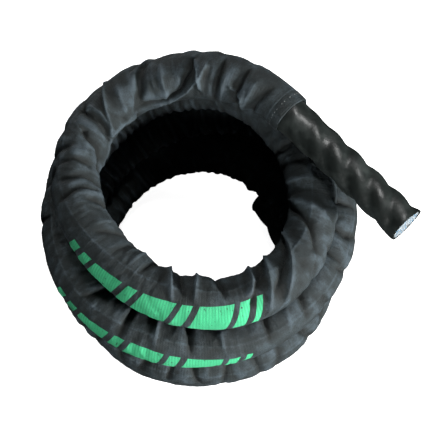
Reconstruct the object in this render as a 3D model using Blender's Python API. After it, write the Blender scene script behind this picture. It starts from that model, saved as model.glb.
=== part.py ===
"""Battle rope, put away in a coil of four turns.

A three-strand rope runs inside a loose fabric sleeve. A heat-shrink boot grips each end
and shows the lay of the rope through its film. A bound hem closes the sleeve on each boot.
The near end lies on top of the coil and reaches out past it. The far end lies underneath.

Metres, +Z up. The frame's origin is under the middle of the whole part, on the floor.
"""

import math

import bmesh
import bpy
import numpy as np
from mathutils import Vector

# Rope: three strands pressed together, laid right-handed
ROPE_DIAMETER = 0.038
GROOVE_DEPTH = 0.0034
LAY_LENGTH = 0.095
STRAND_COUNT = 3
CLEARANCE = 0.0003

# Heat-shrink boots
FILM_THICKNESS = 0.0012
BOOT_SHOWN = 0.172
BOOT_UNDER_SLEEVE = 0.063
BOOT_LIP = 0.001
BOOT_FLARE = 0.0012
BOOT_FLARE_LENGTH = 0.012

# Sleeve and its bound hems
SLEEVE_DIAMETER = 0.054
SLEEVE_WALL = 0.001
SLEEVE_TAPER_LENGTH = 0.09
HEM_LENGTH = 0.014
HEM_THICKNESS = 0.0012

# Coil: the shares are of COIL_RADIUS, one for each half turn from the top to the floor
COIL_RADIUS = 0.134
TURN_COUNT = 4
START_ANGLE = math.radians(43)
RAMP_ANGLE = math.radians(107)
RAMP_LAG_SHARE = 0.03
TURN_GAP = 0.0006
STRAIGHT_LENGTH = 0.182
RADIUS_SHARES = (0.955, 0.94, 1.03, 1.09, 1.105, 1.065, 0.985, 0.935, 0.93)
CENTRE_X_SHARES = (0.0, -0.07, -0.065, -0.01, 0.035, 0.02, -0.005, 0.0, -0.09)
CENTRE_Y_SHARES = (0.1, 0.145, 0.12, 0.07, 0.02, -0.03, -0.065, -0.085, -0.095)
OVAL_SHARES = (-0.035, -0.085, -0.045, 0.015, 0.02, -0.025, -0.05, -0.01, 0.0)

# Where along the turns the sleeve starts to be pressed from above, and is free below
PRESS_START_SHARE = 0.92
PRESS_END_SHARE = 0.96
FREE_START_SHARE = 2.98
FREE_END_SHARE = 3.08

# Fineness of the meshes
ROUTE_STEPS_PER_TURN = 360
SLEEVE_RINGS_PER_TURN = 28
SLEEVE_SIDES = 16
TAPER_RING_SHARES = (0.2, 0.45, 0.7, 1.0)
STRAND_RINGS_PER_LAY = 6
BOOT_RINGS_PER_LAY = 12
BOOT_SIDES = 18
SHARP_ANGLE = math.radians(50)
GAP_SECTIONS_PER_TURN = 90
GAP_POINTS = 360
TURN_ROUNDING = 1e-9
STEEPEST_STEP_SHARE = 1.5
MILLIMETRES = 1000

# Sizes that follow from the ones above
ROPE_RADIUS = ROPE_DIAMETER / 2
GROOVE_RADIUS = ROPE_RADIUS - GROOVE_DEPTH
BOOT_RADIUS = ROPE_RADIUS + CLEARANCE + FILM_THICKNESS
SLEEVE_RADIUS = SLEEVE_DIAMETER / 2
BOOT_HOLE_RADIUS = (BOOT_RADIUS + CLEARANCE) / math.cos(math.pi / SLEEVE_SIDES)
SLEEVE_END_RADIUS = BOOT_HOLE_RADIUS + SLEEVE_WALL
HEM_RADIUS = SLEEVE_END_RADIUS + CLEARANCE + HEM_THICKNESS
PRESSED_HALF_HEIGHT = SLEEVE_END_RADIUS
FLOOR_AXIS = HEM_RADIUS


def level_rise():
    """Height from one turn to the next, so that the steepest part of the ramp keeps its gap."""
    stack = 2 * PRESSED_HALF_HEIGHT + TURN_GAP
    run = RAMP_ANGLE * COIL_RADIUS * min(RADIUS_SHARES)
    steepness = STEEPEST_STEP_SHARE / run
    return stack / math.sqrt(1 - (stack * steepness) ** 2)


LEVEL_RISE = level_rise()
FREE_TOP = min(SLEEVE_RADIUS, LEVEL_RISE - BOOT_RADIUS - CLEARANCE)


def smooth_step(value):
    """Rises from 0 to 1, at its middle half as steeply again as a straight line."""
    value = np.clip(value, 0.0, 1.0)
    return value * value * (3 - 2 * value)


def blend(start, end, amount):
    return start + (end - start) * amount


def half_turn_value(shares, turn):
    """A smooth curve through one value for each half turn (Catmull-Rom)."""
    place = min(max(turn * 2, 0.0), len(shares) - 1.0)
    index = min(int(place), len(shares) - 2)
    part = place - index
    before = shares[max(index - 1, 0)]
    start, end = shares[index], shares[index + 1]
    after = shares[min(index + 2, len(shares) - 1)]
    bend = 2 * before - 5 * start + 4 * end - after
    twist = 3 * (start - end) + after - before
    return start + part * ((end - before) + part * (bend + part * twist)) / 2


def level(turn):
    """How many levels the rope has come down: a turn steps down once, after the one below it."""
    full_turns = math.floor(turn + TURN_ROUNDING)
    lag_share = RAMP_LAG_SHARE * (TURN_COUNT - 1 - full_turns)
    ramp_share = (turn - full_turns) * math.tau / RAMP_ANGLE
    return full_turns + float(smooth_step(ramp_share - lag_share))


def coil_point(turn):
    angle = START_ANGLE + math.tau * turn
    oval = half_turn_value(OVAL_SHARES, turn) * math.sin(2 * angle)
    radius = COIL_RADIUS * (half_turn_value(RADIUS_SHARES, turn) + oval)
    x = COIL_RADIUS * half_turn_value(CENTRE_X_SHARES, turn) + radius * math.cos(angle)
    y = COIL_RADIUS * half_turn_value(CENTRE_Y_SHARES, turn) + radius * math.sin(angle)
    z = FLOOR_AXIS + LEVEL_RISE * (TURN_COUNT - level(turn))
    return np.array((x, y, z))


class Route:
    """The rope's axis: a straight near end, then the coil, read by the distance from the near tip."""

    def __init__(self):
        steps = TURN_COUNT * ROUTE_STEPS_PER_TURN
        turns = np.linspace(0.0, TURN_COUNT, steps + 1)
        coil = np.array([coil_point(turn) for turn in turns])
        step = float(np.linalg.norm(coil[1] - coil[0]))
        heading = coil[1] - coil[0]
        heading[2] = 0.0
        heading /= np.linalg.norm(heading)
        straight_steps = round(STRAIGHT_LENGTH / step)
        distances = np.linspace(-STRAIGHT_LENGTH, 0.0, straight_steps, endpoint=False)
        straight = coil[0] + distances[:, None] * heading
        self.points = np.vstack((straight, coil))
        self.turns = np.concatenate((distances / (math.tau * COIL_RADIUS), turns))
        self.measure()
        self.lower_far_end()
        self.measure()
        middle_slopes = self.points[2:] - self.points[:-2]
        first_slope = self.points[1:2] - self.points[:1]
        last_slope = self.points[-1:] - self.points[-2:-1]
        slopes = np.vstack((first_slope, middle_slopes, last_slope))
        self.tangents = slopes / np.linalg.norm(slopes, axis=1)[:, None]

    def measure(self):
        steps = np.linalg.norm(np.diff(self.points, axis=0), axis=1)
        self.distances = np.concatenate(((0.0,), np.cumsum(steps)))
        self.length = float(self.distances[-1])

    def lower_far_end(self):
        """The far boot is slimmer than the hem, so it comes down to the floor past it."""
        past_hem = self.distances - (self.length - BOOT_SHOWN)
        drop = HEM_RADIUS - BOOT_RADIUS - BOOT_FLARE
        self.points[:, 2] -= drop * smooth_step(past_hem / BOOT_SHOWN)

    def read(self, table, distance):
        columns = [np.interp(distance, self.distances, column) for column in table.T]
        return np.array(columns)

    def turn(self, distance):
        return float(np.interp(distance, self.distances, self.turns))

    def frame(self, distance):
        """The axis point, and the directions outward from the coil and upward."""
        tangent = self.read(self.tangents, distance)
        tangent /= np.linalg.norm(tangent)
        outward = np.cross(tangent, (0.0, 0.0, 1.0))
        outward /= np.linalg.norm(outward)
        upward = np.cross(outward, tangent)
        beyond = distance - min(max(distance, 0.0), self.length)
        return self.read(self.points, distance) + tangent * beyond, outward, upward

    def ring(self, distance, section):
        centre, outward, upward = self.frame(distance)
        return [centre + outward * across + upward * up for across, up in section]


def round_section(radius, sides):
    angles = [math.tau * (side / sides) - math.pi / 2 for side in range(sides)]
    return [(radius * math.cos(angle), radius * math.sin(angle)) for angle in angles]


def lobe_radius(angle, crest, groove):
    """Outline of three equal overlapping circles, whose lobes are at 0, 120 and 240 degrees."""
    spacing = math.tau / STRAND_COUNT
    from_lobe = (angle + spacing / 2) % spacing - spacing / 2
    offset = (crest ** 2 - groove ** 2) / (2 * crest - groove)
    circle = crest - offset
    across = offset * math.sin(from_lobe)
    return offset * math.cos(from_lobe) + math.sqrt(circle ** 2 - across ** 2)


def lay_angle(distance):
    """Direction of the first strand. It falls with distance, which is a right-hand lay."""
    return -math.tau * distance / LAY_LENGTH


def lobed_section(distance, growth):
    """The rope's outline, grown outward by growth."""
    section = []
    for side in range(BOOT_SIDES):
        angle = math.tau * side / BOOT_SIDES
        radius = lobe_radius(angle, ROPE_RADIUS + growth, GROOVE_RADIUS + growth)
        turned = angle + lay_angle(distance)
        section.append((radius * math.cos(turned), radius * math.sin(turned)))
    return section


def strand_section(distance, strand):
    """One strand: a third of the rope's outline, with flat flanks against the other two."""
    half_gap = CLEARANCE / 2
    half_sector = math.pi / STRAND_COUNT
    apex = half_gap / math.sin(half_sector)
    corner = half_sector - math.asin(half_gap / GROOVE_RADIUS)
    arc = (-corner, -corner / 3, corner / 3, corner)
    outline = [(apex, 0.0)]
    for angle in arc:
        outline.append((lobe_radius(angle, ROPE_RADIUS, GROOVE_RADIUS), angle))
    direction = lay_angle(distance) + math.tau * strand / STRAND_COUNT
    return [(radius * math.cos(angle + direction), radius * math.sin(angle + direction))
            for radius, angle in outline]


def sleeve_section(route, distance, inset, sides=SLEEVE_SIDES):
    """A round tube, drawn in at the hems, pressed by the turn above and by what is below."""
    turn = route.turn(distance)
    height = route.frame(distance)[0][2]
    from_end = min(distance - BOOT_SHOWN, route.length - BOOT_SHOWN - distance)
    opened = float(smooth_step((from_end - HEM_LENGTH) / SLEEVE_TAPER_LENGTH))
    radius = blend(SLEEVE_END_RADIUS, SLEEVE_RADIUS, opened)
    press_length = PRESS_END_SHARE - PRESS_START_SHARE
    pressed = float(smooth_step((turn - PRESS_START_SHARE) / press_length))
    top = blend(FREE_TOP, PRESSED_HALF_HEIGHT, pressed)
    freed = float(smooth_step((turn - FREE_START_SHARE) / (FREE_END_SHARE - FREE_START_SHARE)))
    underside = blend(PRESSED_HALF_HEIGHT, SLEEVE_RADIUS, freed)
    underside = min(underside, height)
    section = round_section(radius - inset, sides)
    return [(across, min(max(up, inset - underside), top - inset)) for across, up in section]


def add_skin(body, rows, turned_side=None):
    """Triangles between rings. Neighbours split alike, so that twisted skins nest."""
    for row, next_row in zip(rows[:-1], rows[1:]):
        for side in range(len(row)):
            beside = (side + 1) % len(row)
            corners = (row[side], row[beside], next_row[beside], next_row[side])
            if side == turned_side:
                corners = corners[1:] + corners[:1]
            body.faces.new((corners[0], corners[1], corners[2]))
            body.faces.new((corners[0], corners[2], corners[3]))


def loft(name, outer_rings, bore_rings=None, turned_side=None):
    """A body through rings of points, solid or with an open bore from end to end."""
    mesh = bpy.data.meshes.new(name)
    body = bmesh.new()
    outer = [[body.verts.new(Vector(point)) for point in ring] for ring in outer_rings]
    add_skin(body, outer, turned_side)
    if bore_rings is None:
        body.faces.new(outer[0])
        body.faces.new(outer[-1])
    else:
        bore = [[body.verts.new(Vector(point)) for point in ring] for ring in bore_rings]
        add_skin(body, bore)
        add_skin(body, (outer[0], bore[0]))
        add_skin(body, (outer[-1], bore[-1]))
    bmesh.ops.recalc_face_normals(body, faces=body.faces[:])
    body.to_mesh(mesh)
    body.free()
    mesh.shade_smooth()
    mesh.set_sharp_from_angle(angle=SHARP_ANGLE)
    return bpy.data.objects.new(name, mesh)


def make_material(name, colour, roughness):
    material = bpy.data.materials.new(name)
    material.use_nodes = True
    shader = material.node_tree.nodes["Principled BSDF"]
    shader.inputs["Base Color"].default_value = (*colour, 1.0)
    shader.inputs["Roughness"].default_value = roughness
    shader.inputs["Metallic"].default_value = 0.0
    return material


def strand_distances(route):
    """Evenly spaced sections from one cut end of the rope to the other."""
    count = round(route.length * STRAND_RINGS_PER_LAY / LAY_LENGTH)
    return np.linspace(0.0, route.length, count + 1)


def make_strand(route, name, strand):
    """The last side is a flank, split to match the first side of the next strand."""
    rings = [route.ring(distance, strand_section(distance, strand))
             for distance in strand_distances(route)]
    return loft(name, rings, turned_side=len(rings[0]) - 1)


def boot_rings(route, distances, growth):
    rings = []
    for distance in distances:
        from_tip = min(distance, route.length - distance)
        flare = BOOT_FLARE * float(smooth_step(1 - from_tip / BOOT_FLARE_LENGTH))
        rings.append(route.ring(distance, lobed_section(distance, growth + flare)))
    return rings


def make_boot(route, name, far_end):
    """A film sleeve that follows the lay. Its sections meet those of the strands."""
    steps_per_section = BOOT_RINGS_PER_LAY // STRAND_RINGS_PER_LAY
    sections = strand_distances(route)
    spacing = (sections[1] - sections[0]) / steps_per_section
    count = round((BOOT_SHOWN + BOOT_UNDER_SLEEVE) / spacing)
    distances = [-BOOT_LIP] + [spacing * index for index in range(count + 1)]
    if far_end:
        distances = [route.length - distance for distance in reversed(distances)]
    outer = boot_rings(route, distances, CLEARANCE + FILM_THICKNESS)
    inner = boot_rings(route, distances, CLEARANCE)
    return loft(name, outer, inner)


def make_sleeve(route, name):
    """One unbroken tube, open at both ends, with closer rings where it is drawn in."""
    near, far = BOOT_SHOWN, route.length - BOOT_SHOWN
    step = math.tau * COIL_RADIUS / SLEEVE_RINGS_PER_TURN
    drawn_in = [0.0, HEM_LENGTH / 2, HEM_LENGTH]
    drawn_in += [HEM_LENGTH + SLEEVE_TAPER_LENGTH * share for share in TAPER_RING_SHARES]
    plain = far - near - 2 * drawn_in[-1]
    count = round(plain / step)
    middle = [near + drawn_in[-1] + plain * index / count for index in range(1, count)]
    distances = [near + distance for distance in drawn_in] + middle
    distances += [far - distance for distance in reversed(drawn_in)]
    outer = [route.ring(distance, sleeve_section(route, distance, 0.0))
             for distance in distances]
    inner = [route.ring(distance, sleeve_section(route, distance, SLEEVE_WALL))
             for distance in distances]
    return loft(name, outer, inner)


def make_hem(route, name, far_end):
    """A bound edge: a band round the sleeve's end, with a lip that covers the cut cloth."""
    band_radius = SLEEVE_END_RADIUS + CLEARANCE
    outside, inside = -CLEARANCE - HEM_THICKNESS, -CLEARANCE
    outer_profile = [(outside, HEM_RADIUS), (HEM_LENGTH / 2, HEM_RADIUS),
                     (HEM_LENGTH, HEM_RADIUS)]
    bore_profile = [(outside, BOOT_HOLE_RADIUS), (inside, BOOT_HOLE_RADIUS),
                    (inside, band_radius), (HEM_LENGTH / 2, band_radius),
                    (HEM_LENGTH, band_radius)]

    def profile_ring(along, radius):
        distance = BOOT_SHOWN + along
        if far_end:
            distance = route.length - distance
        return route.ring(distance, round_section(radius, SLEEVE_SIDES))

    return loft(name, [profile_ring(along, radius) for along, radius in outer_profile],
                [profile_ring(along, radius) for along, radius in bore_profile])


def least_gap_between_turns(route):
    """Each section of the sleeve against the one a turn further on, seen along the rope."""
    near, far = BOOT_SHOWN, route.length - BOOT_SHOWN
    sections = []
    first_turn, last_turn = route.turn(near), route.turn(far)
    count = math.ceil((last_turn - first_turn) * GAP_SECTIONS_PER_TURN)
    for index in range(count):
        turn = first_turn + index / GAP_SECTIONS_PER_TURN
        distance = float(np.interp(turn, route.turns, route.distances))
        section = sleeve_section(route, distance, 0.0, GAP_POINTS)
        centre, outward, upward = route.frame(distance)
        sections.append((np.array(route.ring(distance, section)), outward, upward))
    least = math.inf
    for index in range(count - GAP_SECTIONS_PER_TURN):
        above, outward, upward = sections[index]
        below = sections[index + GAP_SECTIONS_PER_TURN][0]
        offsets = above[:, None, :] - below[None, :, :]
        apart = np.hypot(offsets @ outward, offsets @ upward)
        least = min(least, float(apart.min()))
    return least


def least_gap_under_boot(route):
    """The end of the first turn against the near boot that lies across it."""
    start, heading = route.points[0], route.tangents[0]
    least = math.inf
    for index in range(GAP_SECTIONS_PER_TURN // 2, GAP_SECTIONS_PER_TURN):
        turn = index / GAP_SECTIONS_PER_TURN
        distance = float(np.interp(turn, route.turns, route.distances))
        section = sleeve_section(route, distance, 0.0, GAP_POINTS)
        offsets = np.array(route.ring(distance, section)) - start
        along = offsets @ heading
        away = np.linalg.norm(offsets - along[:, None] * heading, axis=1)
        least = min(least, float(away[along < BOOT_SHOWN].min(initial=math.inf)))
    return least - BOOT_RADIUS


def stand_on_origin(parts, collection):
    """Moves the whole part so that its box stands on the origin, centred."""
    corners = np.array([vertex.co for part in parts for vertex in part.data.vertices])
    low, high = corners.min(axis=0), corners.max(axis=0)
    holder = bpy.data.objects.new("battle_rope_origin", None)
    holder.location = (-(low[0] + high[0]) / 2, -(low[1] + high[1]) / 2, -low[2])
    collection.objects.link(holder)
    for part in parts:
        part.parent = holder
    return holder.location


def main():
    for old in list(bpy.data.objects):
        bpy.data.objects.remove(old, do_unlink=True)
    collection = bpy.data.collections.new("battle_rope")
    bpy.context.scene.collection.children.link(collection)

    cloth = make_material("sleeve_cloth", (0.028, 0.033, 0.034), 0.75)
    binding = make_material("hem_binding", (0.018, 0.020, 0.020), 0.8)
    film = make_material("boot_film", (0.016, 0.017, 0.018), 0.3)
    fibre = make_material("rope_fibre", (0.52, 0.58, 0.62), 0.85)

    route = Route()
    parts = []

    def add(part, material):
        part.data.materials.append(material)
        collection.objects.link(part)
        parts.append(part)

    for strand, letter in enumerate("abc"):
        add(make_strand(route, f"rope_strand_{letter}", strand), fibre)
    for side, far_end in (("near", False), ("far", True)):
        add(make_boot(route, f"{side}_boot", far_end), film)
        add(make_hem(route, f"{side}_sleeve_hem", far_end), binding)
    add(make_sleeve(route, "fabric_sleeve"), cloth)

    shift = stand_on_origin(parts, collection)
    turn_gap = least_gap_between_turns(route) * MILLIMETRES
    boot_gap = least_gap_under_boot(route) * MILLIMETRES
    print(f"Rope length {route.length:.4f} m, level rise {LEVEL_RISE * MILLIMETRES:.2f} mm")
    print(f"Least gap between turns {turn_gap:.2f} mm")
    print(f"Least gap under the near boot {boot_gap:.2f} mm")
    print(f"Coil centre lies at {shift[0]:.5f}, {shift[1]:.5f} m, raised {shift[2]:.5f} m")
    bpy.context.view_layer.update()


main()
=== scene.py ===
"""Battle rope: its looks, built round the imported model.

A loose black sleeve lies in folds on a three-strand rope, coiled in four turns. Glossy
heat-shrink boots grip its two ends. Metres, +Z up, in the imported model's frame.
"""

import math

import bmesh
import bpy
import numpy as np
from mathutils import Matrix, Vector


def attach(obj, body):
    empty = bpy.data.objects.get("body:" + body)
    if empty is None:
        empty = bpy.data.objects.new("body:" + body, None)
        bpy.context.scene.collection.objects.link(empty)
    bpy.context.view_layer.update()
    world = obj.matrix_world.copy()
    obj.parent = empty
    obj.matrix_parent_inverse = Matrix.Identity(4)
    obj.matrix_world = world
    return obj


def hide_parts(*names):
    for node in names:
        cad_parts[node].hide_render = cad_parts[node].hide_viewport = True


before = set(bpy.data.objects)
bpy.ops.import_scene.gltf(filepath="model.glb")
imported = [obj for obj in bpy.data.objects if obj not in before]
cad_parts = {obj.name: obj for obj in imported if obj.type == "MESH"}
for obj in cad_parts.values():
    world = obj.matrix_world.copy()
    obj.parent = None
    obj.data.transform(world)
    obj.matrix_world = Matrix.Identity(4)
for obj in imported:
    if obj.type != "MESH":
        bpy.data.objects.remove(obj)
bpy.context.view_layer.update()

MM = 0.001

# The rope and its route, as in the part's source
ROPE_DIAMETER = 0.038
GROOVE_DEPTH = 0.0034
LAY_LENGTH = 0.095
STRAND_COUNT = 3
CLEARANCE = 0.0003
FILM_THICKNESS = 0.0012
BOOT_SHOWN = 0.172
BOOT_UNDER_SLEEVE = 0.063
BOOT_LIP = 0.001
BOOT_FLARE = 0.0012
BOOT_FLARE_LENGTH = 0.012
SLEEVE_DIAMETER = 0.054
SLEEVE_WALL = 0.001
SLEEVE_TAPER_LENGTH = 0.09
SLEEVE_CAD_SIDES = 16
HEM_LENGTH = 0.014
HEM_THICKNESS = 0.0012
COIL_RADIUS = 0.134
COIL_CENTRE = (-0.02987, -0.00506)
TURN_COUNT = 4
START_AZIMUTH = 43
START_ANGLE = math.radians(START_AZIMUTH)
RAMP_ANGLE = math.radians(107)
RAMP_LAG_SHARE = 0.03
TURN_GAP = 0.0006
STRAIGHT_LENGTH = 0.182
RADIUS_SHARES = (0.955, 0.94, 1.03, 1.09, 1.105, 1.065, 0.985, 0.935, 0.93)
CENTRE_X_SHARES = (0, -0.07, -0.065, -0.01, 0.035, 0.02, -0.005, 0, -0.09)
CENTRE_Y_SHARES = (0.1, 0.145, 0.12, 0.07, 0.02, -0.03, -0.065, -0.085, -0.095)
OVAL_SHARES = (-0.035, -0.085, -0.045, 0.015, 0.02, -0.025, -0.05, -0.01, 0)
ROUTE_STEPS_PER_TURN = 360
STEEPEST_STEP_SHARE = 1.5
TURN_ROUNDING = 1e-9

ROPE_RADIUS = ROPE_DIAMETER / 2
GROOVE_RADIUS = ROPE_RADIUS - GROOVE_DEPTH
BOOT_RADIUS = ROPE_RADIUS + CLEARANCE + FILM_THICKNESS
SLEEVE_RADIUS = SLEEVE_DIAMETER / 2
BOOT_HOLE_RADIUS = (BOOT_RADIUS + CLEARANCE) / math.cos(math.pi / SLEEVE_CAD_SIDES)
SLEEVE_END_RADIUS = BOOT_HOLE_RADIUS + SLEEVE_WALL
HEM_RADIUS = SLEEVE_END_RADIUS + CLEARANCE + HEM_THICKNESS
FLOOR_AXIS = HEM_RADIUS

# Fineness of the meshes: the sleeve's is doubled each time that its cloth has settled
SLEEVE_RING_STEP = 11.2 * MM
SLEEVE_SIDES = 14
BOOT_RING_STEP = 1.0 * MM
BOOT_SIDES = 120

# Camera, from the photograph: its size in pixels, its place and its turn
PHOTO_SIZE = 430
FOCAL_PIXELS = 1232.3
CAMERA_TARGET = (-0.00997, -0.00506, 0.14045)
CAMERA_DISTANCE = 1.3576
CAMERA_ELEVATION = math.radians(67.8)
CAMERA_ROLL = math.radians(2.1)
SENSOR_WIDTH = 36.0


def smooth_step(value):
    value = np.clip(value, 0.0, 1.0)
    return value * value * (3 - 2 * value)


def blend(start, end, amount):
    return start + (end - start) * amount


def lengths(vectors):
    return np.sqrt((vectors ** 2).sum(axis=-1))


def units(vectors):
    """The vectors' directions, each with a length of 1."""
    return vectors / lengths(vectors)[..., None]


def half_turn_value(shares, turn):
    """A smooth curve through one value for each half turn (Catmull-Rom)."""
    place = min(max(turn * 2, 0.0), len(shares) - 1.0)
    index = min(int(place), len(shares) - 2)
    part = place - index
    before = shares[max(index - 1, 0)]
    start, end = shares[index], shares[index + 1]
    after = shares[min(index + 2, len(shares) - 1)]
    bend = 2 * before - 5 * start + 4 * end - after
    twist = 3 * (start - end) + after - before
    return start + part * ((end - before) + part * (bend + part * twist)) / 2


def level_rise():
    """Height from one turn to the next."""
    stack = 2 * SLEEVE_END_RADIUS + TURN_GAP
    run = RAMP_ANGLE * COIL_RADIUS * min(RADIUS_SHARES)
    steepness = STEEPEST_STEP_SHARE / run
    return stack / math.sqrt(1 - (stack * steepness) ** 2)


LEVEL_RISE = level_rise()


def level(turn):
    """How many levels the rope has come down: a turn steps down once, after the one below it."""
    full_turns = math.floor(turn + TURN_ROUNDING)
    lag_share = RAMP_LAG_SHARE * (TURN_COUNT - 1 - full_turns)
    ramp_share = (turn - full_turns) * math.tau / RAMP_ANGLE
    return full_turns + float(smooth_step(ramp_share - lag_share))


def coil_point(turn):
    angle = START_ANGLE + math.tau * turn
    oval = half_turn_value(OVAL_SHARES, turn) * math.sin(2 * angle)
    radius = COIL_RADIUS * (half_turn_value(RADIUS_SHARES, turn) + oval)
    x = COIL_RADIUS * half_turn_value(CENTRE_X_SHARES, turn) + radius * math.cos(angle)
    y = COIL_RADIUS * half_turn_value(CENTRE_Y_SHARES, turn) + radius * math.sin(angle)
    z = FLOOR_AXIS + LEVEL_RISE * (TURN_COUNT - level(turn))
    return np.array((x + COIL_CENTRE[0], y + COIL_CENTRE[1], z))


class Route:
    """The rope's axis: a straight near end, then the coil, read by distances from the tip."""

    def __init__(self):
        steps = TURN_COUNT * ROUTE_STEPS_PER_TURN
        turns = np.linspace(0.0, TURN_COUNT, steps + 1)
        coil = np.array([coil_point(turn) for turn in turns])
        step = float(np.linalg.norm(coil[1] - coil[0]))
        heading = coil[1] - coil[0]
        heading[2] = 0.0
        heading /= np.linalg.norm(heading)
        straight_steps = round(STRAIGHT_LENGTH / step)
        distances = np.linspace(-STRAIGHT_LENGTH, 0.0, straight_steps, endpoint=False)
        straight = coil[0] + distances[:, None] * heading
        self.points = np.vstack((straight, coil))
        self.turns = np.concatenate((distances / (math.tau * COIL_RADIUS), turns))
        self.measure()
        self.lower_far_end()
        self.measure()
        middle_slopes = self.points[2:] - self.points[:-2]
        first_slope = self.points[1:2] - self.points[:1]
        last_slope = self.points[-1:] - self.points[-2:-1]
        self.tangents = units(np.vstack((first_slope, middle_slopes, last_slope)))

    def measure(self):
        steps = lengths(np.diff(self.points, axis=0))
        self.distances = np.concatenate(((0.0,), np.cumsum(steps)))
        self.length = float(self.distances[-1])

    def lower_far_end(self):
        """The far boot is slimmer than the hem, so it comes down to the floor past it."""
        past_hem = self.distances - (self.length - BOOT_SHOWN)
        drop = HEM_RADIUS - BOOT_RADIUS - BOOT_FLARE
        self.points[:, 2] -= drop * smooth_step(past_hem / BOOT_SHOWN)

    def turn(self, distances):
        return np.interp(distances, self.distances, self.turns)

    def distance_at(self, azimuth):
        """Distance along the rope where it has come to that azimuth, in degrees from +X."""
        return np.interp((azimuth - START_AZIMUTH) / 360, self.turns, self.distances)

    def azimuth(self, distances):
        return START_AZIMUTH + 360 * self.turn(distances)

    def read(self, distances, rows):
        """What rows, one for each point of the route, hold at distances along it."""
        return np.array([np.interp(distances, self.distances, column) for column in rows.T]).T

    def frames(self, distances):
        """Axis points, and the directions outward from the coil and upward, one row each."""
        tangents = units(self.read(distances, self.tangents))
        beyond = distances - np.clip(distances, 0.0, self.length)
        centres = self.read(distances, self.points) + tangents * beyond[:, None]
        outward = units(np.cross(tangents, (0.0, 0.0, 1.0)))
        return centres, outward, np.cross(outward, tangents)

    def frame(self, distance):
        """The same at one distance, and the direction along the rope."""
        centre, outward, upward = (rows[0] for rows in self.frames(np.array([distance])))
        return centre, outward, upward, np.cross(upward, outward)

    def rings(self, distances, radii, angles):
        """Points round the axis: radii and angles are a grid, or one row for all rings."""
        centres, outward, upward = self.frames(distances)
        across = (radii * np.cos(angles))[..., None]
        up = (radii * np.sin(angles))[..., None]
        return centres[:, None] + outward[:, None] * across + upward[:, None] * up


route = Route()

NOISE_CELLS = 257

# Seeds of what is drawn at random
WANDER_SEED, LUMP_SEED, HIDDEN_SEED, START_SEED = 1, 4, 6, 8
CRUMPLE_SEED, PATCH_SEED_STEP = 20, 10
PUCKER_SEED, TIP_SEED = 31, 40


def lattice_noise(along, around, cells_around, seed):
    """Smooth noise from -1 to 1. One cell along is one unit, and it closes after cells_around."""
    slopes = np.random.default_rng(seed).uniform(0, math.tau, (NOISE_CELLS, cells_around))
    cell_along = np.floor(along).astype(int)
    cell_around = np.floor(around).astype(int)
    part_along = along - cell_along
    part_around = around - cell_around

    def corner(add_along, add_around):
        slope = slopes[(cell_along + add_along) % NOISE_CELLS,
                       (cell_around + add_around) % cells_around]
        return (np.cos(slope) * (part_along - add_along)
                + np.sin(slope) * (part_around - add_around))

    weight = smooth_step(part_along)
    low = blend(corner(0, 0), corner(1, 0), weight)
    high = blend(corner(0, 1), corner(1, 1), weight)
    return blend(low, high, smooth_step(part_around)) * math.sqrt(2)


def tube_noise(distances, angles, cell, cells_around, seed):
    """Noise on the sleeve, whose cells have a length along it and a count around it."""
    around = (angles / math.tau) % 1.0 * cells_around
    return lattice_noise(distances[:, None] / cell, around, cells_around, seed)


def wrapped(angle):
    """The angle less its full turns, from minus to plus half a turn."""
    return (angle + math.pi) % math.tau - math.pi


def full_turn(count, closing=0):
    """Angles evenly round a circle, with the first again at the end where closing is 1."""
    return math.tau * np.arange(count + closing) / count


def table_value(table, column, places):
    """Reads one column of a table by its first column, between the rows in straight lines."""
    rows = np.array(table)
    return np.interp(places, rows[:, 0], rows[:, column])


# The sleeve's gathers, by azimuth in degrees along the coil: how far apart they are and how
# high at the inside of the bend, in millimetres, and what share of that is left at the outside
GATHERS = (
    (43, 13, 1.6, 0.3), (70, 15, 2.6, 0.5), (150, 14, 3, 0.5), (200, 12, 2.6, 0.25),
    (300, 15, 2.6, 0.15), (400, 17, 3, 0.2), (480, 12, 3, 0.35), (560, 14, 2.4, 0.2),
    (700, 15, 2.4, 0.2), (800, 11, 3, 0.4), (880, 9, 2.8, 0.7), (1060, 9, 2.8, 0.7),
    (1160, 12, 3, 0.4), (1250, 9, 2.8, 0.6), (1420, 9, 2.4, 0.5),
)

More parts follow.
